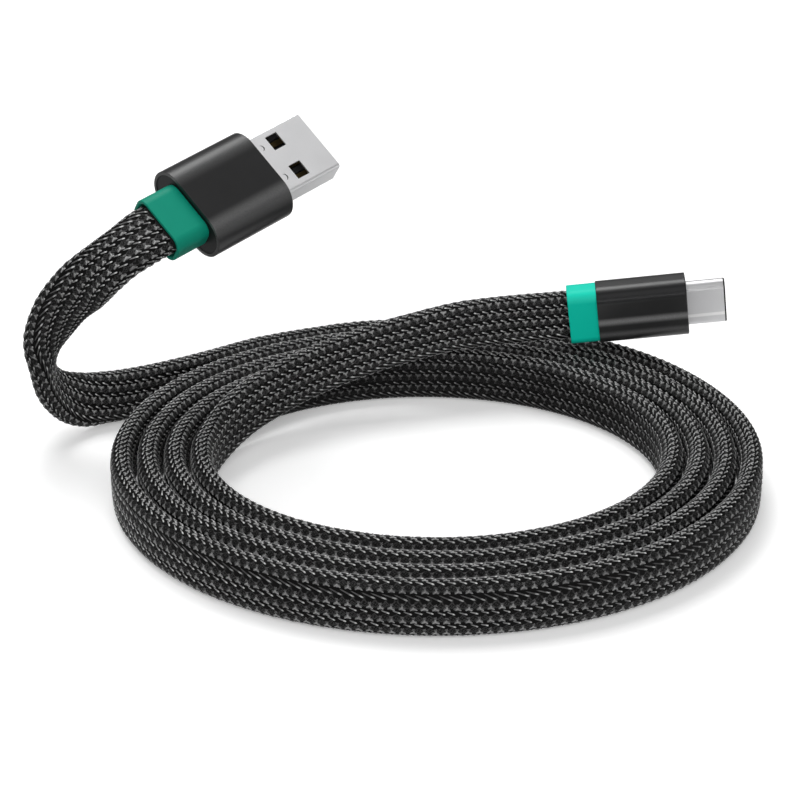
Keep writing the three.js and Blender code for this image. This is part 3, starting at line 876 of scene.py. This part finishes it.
    def build(self) -> Object:
        """Builds the sleeve with its weave map.

        Returns:
            The ribbon.
        """
        self.frames = self.rings()
        at, side, up = (f[:, None] for f in self.frames)
        self.length = (len(at) - 1) * self.ring_step
        self.columns = self.weave.columns(self.length)
        whole, around = self.perimeter(), self.ring_points
        places = whole * np.arange(around) / around
        t, w = (axis[:, None] for axis in self.section(places))
        us = np.interp(np.arange(len(at)) * self.ring_step, self.columns, np.arange(len(self.columns)))
        vs = [self.weave.across(place, whole) for place in places]
        faces, corners = [], []
        for k in range(len(at) - 1):
            for j in range(around):
                n = (j + 1) % around
                faces.append((k * around + j, k * around + n, (k + 1) * around + n, (k + 1) * around + j))
                v0, v1 = vs[j], vs[n] + (len(self.weave.floats) if vs[n] < vs[j] else 0)
                corners += [(us[k], v0), (us[k], v1), (us[k + 1], v1), (us[k + 1], v0)]
        last = (len(at) - 1) * around
        faces += [tuple(range(around - 1, -1, -1)), tuple(range(last, last + around))]
        corners += [(0.0, 0.0)] * (2 * around)
        points = (at + side * t + up * w).reshape(-1, 3)
        obj = woven("cable_ribbon", points, faces, np.array(corners), self.braid.make())
        only(obj)
        bpy.ops.object.mode_set(mode="EDIT")
        bpy.ops.mesh.select_all(action="SELECT")
        bpy.ops.mesh.normals_make_consistent(inside=False)
        bpy.ops.object.mode_set(mode="OBJECT")
        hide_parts("cable_coil", "cable_run_a", "cable_run_c")
        log.info("cable_ribbon: %d rings, %.0f mm", len(at), self.length)
        return obj

    def declare(self, pieces: Sequence[Object | str]) -> None:
        """Works out the ribbon's path in metres, from the oval plug's end, and does nothing more with it."""
        path = self.frames[0][::-1] * MM


# ---- The strands


@dataclass(frozen=True)
class Strand:
    """One strand of the braid's repeat.

    Its middle is in repeats, its sizes in millimetres and its lean in degrees. Its stations are shares of half its
    length and of its girth there.
    """

    middle: Pair
    length: float
    width: float
    height: float
    lean: float
    stations: tuple[Pair, ...]
    outline: tuple[Pair, ...] = ((-1.0, -0.35), (-0.62, 0.68), (0.0, 1.0), (0.62, 0.68), (1.0, -0.35))
    tip: float = -0.35

    def form(self) -> tuple[np.ndarray, list[tuple[int, ...]]]:
        """The strand's own shape, a low closed ridge with pointed ends.

        Returns:
            Its points as shares of half its length, half its width and its height, and its faces.
        """
        points = [(-1.0, 0.0, self.tip)]
        for along, girth in self.stations:
            points += [(along, b * girth, h * girth if h > 0 else h) for b, h in self.outline]
        points.append((1.0, 0.0, self.tip))
        count, rings = len(self.outline), len(self.stations)
        faces: list[tuple[int, ...]] = []
        for k in range(count):
            n = (k + 1) % count
            faces.append((0, 1 + n, 1 + k))
            for ring in range(rings - 1):
                a, b = 1 + ring * count, 1 + (ring + 1) * count
                faces.append((a + k, a + n, b + n, b + k))
            a = 1 + (rings - 1) * count
            faces.append((a + k, a + n, len(points) - 1))
        return np.array(points), faces


@dataclass
class Yarns:
    """The braid's strands, laid as raised forms over the whole sleeve, repeat by repeat."""

    name: str
    strands: tuple[Strand, ...]
    finish: Yarn
    seed: int
    rows: tuple[int, ...] = tuple(range(len(Weave.floats)))
    loose: float = 0.05
    astray: float = 0.04
    stretch: Pair = (0.9, 1.08)
    swell: Pair = (0.8, 1.15)

    def lay(self, ribbon: Ribbon) -> Object:
        """Lays the strands round the sleeve from end to end.

        Args:
            ribbon: the built sleeve.

        Returns:
            One object with all of them.
        """
        chance = np.random.default_rng(self.seed)
        weave, starts = ribbon.weave, ribbon.columns
        numbers = np.arange(1, len(starts) - 2)
        column, row = (g.ravel() for g in np.meshgrid(numbers, np.array(self.rows), indexing="ij"))
        repeat = (starts[column + 1] - starts[column])[:, None]
        size = (count := len(column), 1)
        points, faces, corners = [], [], []
        start = 0
        for strand in self.strands:
            shape, shape_faces = strand.form()
            stretch = chance.uniform(*self.stretch, size)
            lean = math.radians(strand.lean) + chance.normal(0.0, self.loose, size)
            rise = strand.height * chance.uniform(*self.swell, size)
            a = shape[:, 0] * strand.length / 2 * stretch * repeat / weave.repeat
            b = shape[:, 1] * strand.width / 2
            along = starts[column][:, None] + strand.middle[0] * repeat + a * np.cos(lean) - b * np.sin(lean)
            along += chance.normal(0.0, self.astray, size)
            middle = weave.starts()[row] + strand.middle[1] * weave.row
            across = middle[:, None] + a * np.sin(lean) + b * np.cos(lean)
            across += chance.normal(0.0, self.astray, size)
            points.append(ribbon.surface(along, across, shape[:, 2] * rise).reshape(-1, 3))
            share = np.clip(shape[:, :2] * 0.49 + 0.5, 0.01, 0.99)
            order = [i for face in shape_faces for i in face]
            corners.append((np.stack([column, row], 1)[:, None] + share[order]).reshape(-1, 2))
            for at in range(start, start + count * len(shape), len(shape)):
                faces += [tuple(at + i for i in face) for face in shape_faces]
            start += count * len(shape)
        obj = woven(self.name, np.concatenate(points), faces, np.concatenate(corners), material(self.finish))
        obj.data.calc_loop_triangles()
        log.info("%s: %d triangles", self.name, len(obj.data.loop_triangles))
        return obj


RIDGE = ((-0.4, 0.9), (0.4, 0.9))
DIVING = ((-0.6, 0.7), (0.1, 0.95), (0.72, 0.95))
FLAT = ((0.0, 1.0),)
FLOAT = (Strand((0.465, 0.79), 1.45, 0.27, 0.14, 21, DIVING),)
LONG_FLOAT = (Strand((0.86, 0.93), 2.75, 0.27, 0.15, 23, DIVING),)
UPRIGHT = (Strand((0.02, 0.40), 0.66, 0.32, 0.11, 80, RIDGE),)
RISING = (Strand((-0.13, 0.51), 0.8, 0.3, 0.11, -34, RIDGE),)
FALLING = (Strand((0.16, 0.53), 0.84, 0.3, 0.11, 28, RIDGE),)
CROSSING = tuple(Strand((0.0, 0.19), 0.82, 0.3, 0.07, lean, FLAT) for lean in (42, -42))
PADS = (
    Strand((0.42, 0.17), 0.58, 0.2, 0.07, -52, FLAT),
    Strand((0.6, 0.24), 0.58, 0.2, 0.07, -48, FLAT),
)
FLOAT_YARN = Yarn("yarn_float", 0.38, 0.9)
KNOT_YARN = Yarn("yarn_knot", 0.46, 0.6)
BRAID_YARNS = (
    Yarns("yarn_floats_inner", FLOAT, FLOAT_YARN, 3, Weave.inner),
    Yarns("yarn_floats_outer", FLOAT, FLOAT_YARN, 15, Weave.outer),
    # The long floats' yarn is darker than the other floats', as painted shade on the shoulder they run on.
    Yarns("yarn_long_floats", LONG_FLOAT, Yarn("yarn_long_float", 0.2, 0.9), 4, Weave.long),
    Yarns("yarn_knots_upright", UPRIGHT, KNOT_YARN, 5),
    Yarns("yarn_knots_rising", RISING, KNOT_YARN, 7),
    Yarns("yarn_knots_falling", FALLING, KNOT_YARN, 9),
    Yarns("yarn_crossings", CROSSING, Yarn("yarn_crossing", 0.18, 0.22), 11, Weave.crossed, 0.16),
    Yarns("yarn_pads", PADS, Yarn("yarn_pad", 0.05, 0.07, 0.5), 13, Weave.crossed, 0.25),
)


# ---- Plugs

# How far a tool reaches past what it cuts.
PAST = 1.0

INSIDE = {
    "strain_core": Finish.BLACK_MOULDING,
    "cable_clamp": Finish.NICKEL,
    "mould": Finish.PALE_MOULDING,
    "wire_red": Finish.WIRE_RED,
    "wire_white": Finish.WIRE_WHITE,
    "wire_green": Finish.WIRE_GREEN,
    "wire_black": Finish.WIRE_BLACK,
    "contact": Finish.GOLD,
    "circuit_board": Finish.BOARD,
    "resistor": Finish.BLACK_MOULDING,
    "latch_plate": Finish.NICKEL,
    "insulator": Finish.BLACK_MOULDING,
}


@dataclass
class Plug:
    """What both plugs share: their place, their collar and rear plate, and the finishes of the solids inside.

    Sizes are in millimetres: widths, then thicknesses, then lengths. A soft is the rounding of a piece's edges.
    """

    side: str
    place: PlugPlace
    collar: Pair
    collar_radius: float
    collar_wall: float
    collar_soft: float
    collar_finish: Finish
    housing: Triple
    housing_start: float
    shell: Pair
    shell_out: float
    shell_inside: float
    inner_radius: float
    bore_radius: float = 1.5
    wall: float = 0.6
    mouth_gap: float = 0.25
    mouth_depth: float = 2.0
    back_gap: float = 0.58
    back_sunk: float = 0.12
    back_share: float = 0.07
    passage: Triple = (7.6, 2.6, 1.3)

    @property
    def front(self) -> float:
        """The housing's front end."""
        return self.housing_start + self.housing[2]

    @property
    def tip(self) -> float:
        """The shell's front end."""
        return self.front + self.shell_out

    def make(
        self,
        name: str,
        body: Bar,
        tools: "Sequence[Bar | Object]",
        soft: tuple[float, int],
        finish: Finish,
        slot: str,
        *nodes: str,
    ) -> Object:
        """slot: a material slot's name; not used.
            nodes: the names of the solids it replaces, after the plug's.

        Returns:
            The piece.
        """
        obj = body.build(f"{self.side}_{name}")
        for tool in tools:
            cut(obj, tool.build("tool") if isinstance(tool, Bar) else tool)
        soften(obj, *soft)
        only(obj)
        obj.data.transform(self.place.matrix())
        obj.data.update()
        dress(obj, finish)
        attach(obj, "root")
        if nodes:
            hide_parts(*(f"{self.side}_{node}" for node in nodes))
        log.info("%s: %d faces", obj.name, len(obj.data.polygons))
        return obj

    def make_collar(self) -> Object:
        """The teal sleeve that grips the ribbon."""
        (w, t), end, inner = self.collar, self.housing_start + 0.15, 2 * self.collar_wall
        body = Bar(w, t, 0.0, end, self.collar_radius)
        bore = Bar(w - inner, t - inner, -PAST, end + PAST, self.bore_radius)
        return self.make("grip", body, [bore], (self.collar_soft, 3), self.collar_finish, "collar", "collar")

    def make_back(self) -> Object:
        """The plate that closes the housing's rear round the collar."""
        w, t, length = self.housing
        start = self.housing_start + self.back_sunk
        end = start + self.back_share * length
        body = Bar(w - 2 * self.back_gap, t - 2 * self.back_gap, start, end, self.inner_radius, 16)
        passage = Bar(*self.passage[:2], start - PAST, end + PAST, self.passage[2], 8)
        return self.make("back", body, [passage], (0.05, 1), Finish.DARK_RIM, "black_plastic", "rear_cap")

    def hollow(self, front_wall: float, steps: int) -> Bar:
        """The housing's inside, open at the rear."""
        w, t, _ = self.housing
        inner = 2 * self.wall
        return Bar(w - inner, t - inner, self.housing_start - PAST, self.front - front_wall, self.inner_radius, steps)

    def mouth(self, radius: float, steps: int) -> Bar:
        """The hole round the shell in the housing's front wall."""
        w, t = (size + 2 * self.mouth_gap for size in self.shell)
        return Bar(w, t, self.front - self.mouth_depth, self.front + PAST, radius, steps)

    def build(self) -> list[Object]:
        """Dresses the solids inside and builds the plug's outer pieces."""
        self.dress_inside()
        return [self.make_collar(), self.make_housing(), self.make_back(), self.make_shell()]

    def dress_inside(self) -> None:
        """Gives the solids that stay their finishes."""
        for name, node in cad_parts.items():
            for part, finish in INSIDE.items():
                if name.startswith(f"{self.side}_{part}"):
                    dress(node, finish)


@dataclass
class WidePlug(Plug):
    """The USB-A plug: collar, housing, rear plate and shell."""

    side: str = "usb_a"
    place: PlugPlace = PLUG_A
    collar: Pair = (10.9, 5.5)
    collar_radius: float = 2.0
    collar_wall: float = 0.6
    collar_soft: float = 0.18
    collar_finish: Finish = Finish.DARK_TEAL
    housing: Triple = (16.6, 8.1, 16.2)
    housing_start: float = 6.4
    housing_soft: float = 0.22
    shell: Pair = (12.0, 4.5)
    shell_out: float = 12.1
    shell_inside: float = 6.48
    shell_radius: float = 0.62
    shell_wall: float = 0.3
    inner_radius: float = 3.45
    window: Pair = (2.8, 6.5)
    window_length: float = 2.5
    window_back: float = 7.05
    window_aside: float = 3.15
    nick_back: float = 10.2
    nick_radius: float = 0.6
    nick_depth: float = 0.4
    nick_shift: float = -0.25

    def make_housing(self) -> Object:
        """The black sleeve with fully rounded sides, a front wall round the shell, and an open rear."""
        w, t, _ = self.housing
        body = Bar(w, t, self.housing_start, self.front, t / 2, 20)
        tools = [self.hollow(1.0, 16), self.mouth(0.7, 4)]
        return self.make("case", body, tools, (self.housing_soft, 3), Finish.WIDE_HOUSING, "housing", "housing")

    def make_window(self, side: int) -> Object:
        """The tool for a latch window in both broad faces, on one side of the plug."""
        middle, half = self.tip - self.window_back, self.window_length / 2
        window = Bar(*self.window, middle - half, middle + half, 0.05, 1).build("tool")
        window.data.transform(Matrix.Translation((side * self.window_aside * MM, 0, 0)))
        return window

    def make_nick(self, side: int, face: int) -> Object:
        """The tool for a thin crescent behind a window, cut from one disc by another.

        Args:
            side: -1 or 1 across the plug.
            face: -1 or 1 for the broad face.

        Returns:
            The tool.
        """
        discs = []
        for radius, height, shift in (
            (self.nick_radius, self.nick_depth, 0.0),
            (self.nick_radius * 1.05, self.nick_depth * 3, self.nick_shift),
        ):
            middle = (side * self.window_aside, face * self.shell[1] / 2, self.tip - self.nick_back + shift)
            bpy.ops.object.select_all(action="DESELECT")
            bpy.ops.mesh.primitive_cylinder_add(
                vertices=24,
                radius=radius * MM,
                depth=2 * height * MM,
                location=Vector(middle) * MM,
                rotation=(math.pi / 2, 0, 0),
            )
            bpy.ops.object.transform_apply(location=True, rotation=True, scale=True)
            discs.append(bpy.context.active_object)
        cut(*discs)
        return discs[0]

    def make_shell(self) -> Object:
        """The plated box tube with rounded long edges, two latch windows and two small nicks in each broad face."""
        (w, t), start, inner = self.shell, self.front - self.shell_inside, 2 * self.shell_wall
        body = Bar(w, t, start, self.tip, self.shell_radius, 6)
        tools = [Bar(w - inner, t - inner, start - PAST, self.tip + PAST, 0.35, 4)]
        for side in (-1, 1):
            tools += [self.make_window(side), self.make_nick(side, -1), self.make_nick(side, 1)]
        return self.make("sheath", body, tools, (0.07, 2), Finish.WIDE_SHELL, "steel", "shell")


@dataclass
class OvalPlug(Plug):
    """The USB-C plug: collar, housing, rear plate, shell and the rolled lip of the shell's mouth."""

    side: str = "usb_c"
    place: PlugPlace = PLUG_C
    collar: Pair = (10.4, 5.2)
    collar_radius: float = 1.9
    collar_wall: float = 0.5
    collar_soft: float = 0.15
    collar_finish: Finish = Finish.TEAL
    housing: Triple = (10.8, 6.2, 15.4)
    housing_start: float = 5.0
    housing_radius: float = 2.4
    housing_soft: float = 0.16
    rim: float = 0.5
    rim_depth: float = 0.4
    shell: Pair = (8.34, 2.56)
    shell_out: float = 6.65
    shell_inside: float = 4.62
    shell_wall: float = 0.25
    inner_radius: float = 1.9
    lip: float = 0.26
    lip_wall: float = 0.23
    lip_gap: float = 0.02
    lip_overlap: float = 0.04

    def build(self) -> list[Object]:
        """Builds the plug's outer pieces, with the lip."""
        return [*super().build(), self.make_lip()]

    def make_housing(self) -> Object:
        """The black sleeve with rounded sides and a front wall sunk behind a thin rim."""
        w, t, _ = self.housing
        body = Bar(w, t, self.housing_start, self.front, self.housing_radius, 16)
        rim = 2 * self.rim
        recess = Bar(w - rim, t - rim, self.front - self.rim_depth, self.front + PAST, 2.0, 12)
        tools = [self.hollow(1.3, 12), recess, self.mouth(1.5, 10)]
        return self.make("case", body, tools, (self.housing_soft, 3), Finish.OVAL_HOUSING, "housing", "housing")

    def make_shell(self) -> Object:
        """The plated oval tube."""
        (w, t), start, inner = self.shell, self.front - self.shell_inside, 2 * self.shell_wall
        body = Bar(w, t, start, self.tip - self.lip, t / 2, 14)
        bore = Bar(w - inner, t - inner, start - PAST, self.tip + PAST, t / 2, 12)
        return self.make("sheath", body, [bore], (0.05, 2), Finish.OVAL_SHELL, "steel", "shell")

    def make_lip(self) -> Object:
        """The rolled edge of the shell's mouth, in black as painted shade."""
        (w, t), gap, inner = self.shell, 2 * self.lip_gap, 2 * self.lip_wall
        body = Bar(w - gap, t - gap, self.tip - self.lip - self.lip_overlap, self.tip, t / 2, 14)
        bore = Bar(w - inner, t - inner, self.tip - 2 * PAST, self.tip + PAST, t / 2, 12)
        return self.make("lip", body, [bore], (0.08, 2), Finish.DARK_RIM, "steel")


# ---- Studio


@dataclass(frozen=True)
class Lamp:
    """A soft panel that looks at the coil: its place and its size in metres, and its power in watts."""

    name: str
    at: Triple
    size: Pair
    power: float

    def build(self) -> None:
        """Adds the lamp."""
        data = bpy.data.lights.new(self.name, "AREA")
        data.shape = "RECTANGLE"
        data.size, data.size_y = self.size
        data.energy = self.power
        lamp = bpy.data.objects.new(self.name, data)
        bpy.context.collection.objects.link(lamp)
        lamp.location = self.at
        look = Vector((0, 0, 0.01)) - Vector(self.at)
        lamp.rotation_euler = look.to_track_quat("-Z", "Y").to_euler()


@dataclass
class Studio:
    """The camera, the pale floor, the room and the soft lamps."""

    aim: Triple = (1.66, 32.33, 0.0)
    elevation: float = 26.0
    distance: float = 437.5
    lens: float = 112.5
    floor_size: float = 6.0
    floor_sunk: float = 0.00003
    floor_lift: float = 0.3
    floor_bounce: float = 0.12
    floor_mirror: float = 0.85
    wall_light: float = 0.1
    ceiling_light: float = 0.3
    ceiling_from: float = 0.85
    lamps: tuple[Lamp, ...] = (
        Lamp("softbox_top", (-0.2, 0.42, 1.05), (0.7, 0.6), 8.0),
        Lamp("softbox_left", (-0.9, 0.1, 0.55), (0.3, 0.5), 0.5),
        Lamp("softbox_front", (0.1, -0.85, 0.75), (1.2, 0.9), 4.8),
        Lamp("softbox_low", (0.1, -0.9, 0.06), (1.0, 0.1), 2.0),
        Lamp("softbox_right", (1.0, -0.2, 0.12), (0.25, 0.3), 0.3),
    )

    def camera(self) -> None:
        """Sets up the camera at the photograph's angle."""
        data = bpy.data.cameras.new("camera")
        data.lens = self.lens
        data.sensor_width = 36.0
        data.clip_start = 0.01
        data.clip_end = 20.0
        eye = bpy.data.objects.new("camera", data)
        bpy.context.collection.objects.link(eye)
        rise = math.radians(self.elevation)
        back = Vector((0, -math.cos(rise), math.sin(rise)))
        eye.location = (Vector(self.aim) + back * self.distance) * MM
        eye.rotation_euler = (math.pi / 2 - rise, 0, 0)
        bpy.context.scene.camera = eye

    def floor(self) -> None:
        """Lays the floor: white to the camera with the cable's shadow on it, and darker to the cable."""
        bpy.ops.object.select_all(action="DESELECT")
        bpy.ops.mesh.primitive_plane_add(size=self.floor_size, location=(0, 0, -self.floor_sunk))
        floor = bpy.context.active_object
        floor.name = "floor"
        web = Web(bpy.data.materials.new("floor_paper"))
        web.join("Base Color", grey(0.95))
        web.join("Roughness", 0.9)
        web.join("Specular IOR Level", 0.1)
        paper = web.shader.outputs["BSDF"]
        white = web.node("ShaderNodeEmission", {}, {"Color": grey(1.0), "Strength": self.floor_lift})
        seen = web.node("ShaderNodeAddShader", {}, {0: paper, 1: white})
        bounce = web.node("ShaderNodeBsdfDiffuse", {}, {"Color": grey(self.floor_bounce)})
        mirror = web.node("ShaderNodeEmission", {}, {"Color": grey(1.0), "Strength": self.floor_mirror})
        total = web.by_ray("Camera", web.by_ray("Glossy", bounce, mirror), seen)
        web.feed(web.tree.nodes["Material Output"].inputs["Surface"], total)
        floor.data.materials.append(web.owner)

    def world(self) -> None:
        """The room: white to the camera, and to the cable a pale ceiling over darker walls."""
        world = bpy.data.worlds.new("room")
        bpy.context.scene.world = world
        web = Web(world)
        place = web.node("ShaderNodeTexCoord", {}, {}, "Generated")
        height = web.node("ShaderNodeSeparateXYZ", {}, {0: place}, "Z")
        ramp = web.node("ShaderNodeValToRGB", {}, {"Fac": height}, "Color")
        low, high = ramp.source.node.color_ramp.elements
        low.position, low.color = 0.0, grey(self.wall_light)
        high.position, high.color = self.ceiling_from, grey(self.ceiling_light)
        room = web.tree.nodes["Background"]
        web.feed(room.inputs["Color"], ramp)
        white = web.node("ShaderNodeBackground", {}, {"Color": grey(1.0)})
        total = web.by_ray("Camera", room.outputs[0], white)
        web.feed(web.tree.nodes["World Output"].inputs["Surface"], total)

    def build(self) -> None:
        """Sets up the floor, the room and the lamps."""
        self.floor()
        self.world()
        for lamp in self.lamps:
            lamp.build()
        bpy.context.scene.view_settings.view_transform = "Standard"


# The oval plug's solids that are passed to the ribbon's declare.
CARRIED = tuple(
    f"usb_c_{part}" for part in ("insulator", "latch_plate", "strain_core", "circuit_board", "cable_clamp")
)


def main() -> None:
    """Builds the cable and its studio."""
    logging.basicConfig(level=logging.INFO)
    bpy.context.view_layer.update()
    studio = Studio()
    studio.camera()
    ribbon = Ribbon()
    sleeve = ribbon.build()
    yarns = [kind.lay(ribbon) for kind in BRAID_YARNS]
    wide = WidePlug().build()
    oval = OvalPlug().build()
    carried = [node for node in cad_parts.values() if node.name in CARRIED]
    ribbon.declare(oval + yarns + carried)
    log.info("pieces: %s", [p.name for p in wide + oval])
    studio.build()


if __name__ == "__main__":
    main()
